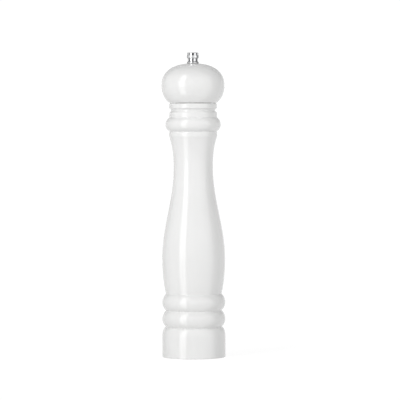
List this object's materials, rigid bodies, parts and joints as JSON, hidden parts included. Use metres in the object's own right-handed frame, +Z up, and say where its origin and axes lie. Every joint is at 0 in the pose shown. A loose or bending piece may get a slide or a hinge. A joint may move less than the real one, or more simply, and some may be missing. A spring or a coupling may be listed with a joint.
{
  "type": "pepper mill",
  "caption": "Tall turned pepper mill with a domed head, ringed body, flared neck, chrome adjusting knob and an inner steel burr set on a square shaft.",
  "frame": {"origin": "centre of the flat underside of the body", "axes": "+Z up along the mill's axis, towards the knob; +X along the crossbar of the burr set"},
  "size_m": [0.0624, 0.0624, 0.3],
  "materials": {
    "lacquered_body": "gloss",
    "lacquered_head": "gloss",
    "chrome_knob": "polished",
    "chrome_collar": "polished",
    "insert_brass": "satin",
    "bush_brass": "satin",
    "plate_steel": "satin",
    "screw_steel": "satin",
    "shaft_steel": "satin",
    "bush_nylon": "satin",
    "spring_steel": "satin",
    "washer_steel": "satin",
    "burr_steel": "satin",
    "clip_steel": "satin",
    "strip_steel": "satin",
    "rivet_steel": "satin"
  },
  "bodies": {
    "mill_body": {"body": "lacquered_body", "foot": "lacquered_body", "stator": "burr_steel", "stirrup": "strip_steel", "stirrup_rivets": "rivet_steel", "crossbar": "strip_steel", "crossbar_screws": "screw_steel"},
    "guide": {"guide_bush": "bush_nylon", "spring": "spring_steel"},
    "spindle": {"shaft": "shaft_steel", "rotor": "burr_steel", "spring_washer": "washer_steel", "rotor_washer": "washer_steel", "retaining_clip": "clip_steel"},
    "head": {"head": "lacquered_head", "drive_plate": "plate_steel", "drive_plate_screws": "screw_steel", "head_bush": "bush_brass"},
    "knob_collar": {"knob_washer": "chrome_collar"},
    "knob": {"knob": "chrome_knob", "knob_insert": "insert_brass"}
  },
  "joints": [
    {"name": "grind_turn", "type": "hinge", "parent": "mill_body", "child": "guide", "pos_m": [0, 0, 0.036], "axis": [0, 0, 1], "continuous": true},
    {"name": "spindle_lift", "type": "slide", "parent": "guide", "child": "spindle", "axis": [0, 0, 1], "range_m": [0, 0.002], "deforming": ["spring"]},
    {"name": "head_lift", "type": "slide", "parent": "guide", "child": "head", "axis": [0, 0, 1], "range_m": [0, 0.065]},
    {"name": "knob_lift", "type": "slide", "parent": "head", "child": "knob_collar", "axis": [0, 0, 1], "range_m": [0, 0.02]},
    {"name": "knob_turn", "type": "hinge", "parent": "knob_collar", "child": "knob", "pos_m": [0, 0, 0.2955], "axis": [0, 0, -1], "range_deg": [0, 900]}
  ],
  "couplings": [
    {"joint": "knob_turn", "follows": "spindle_lift", "rad_per_m": 7854}
  ]
}
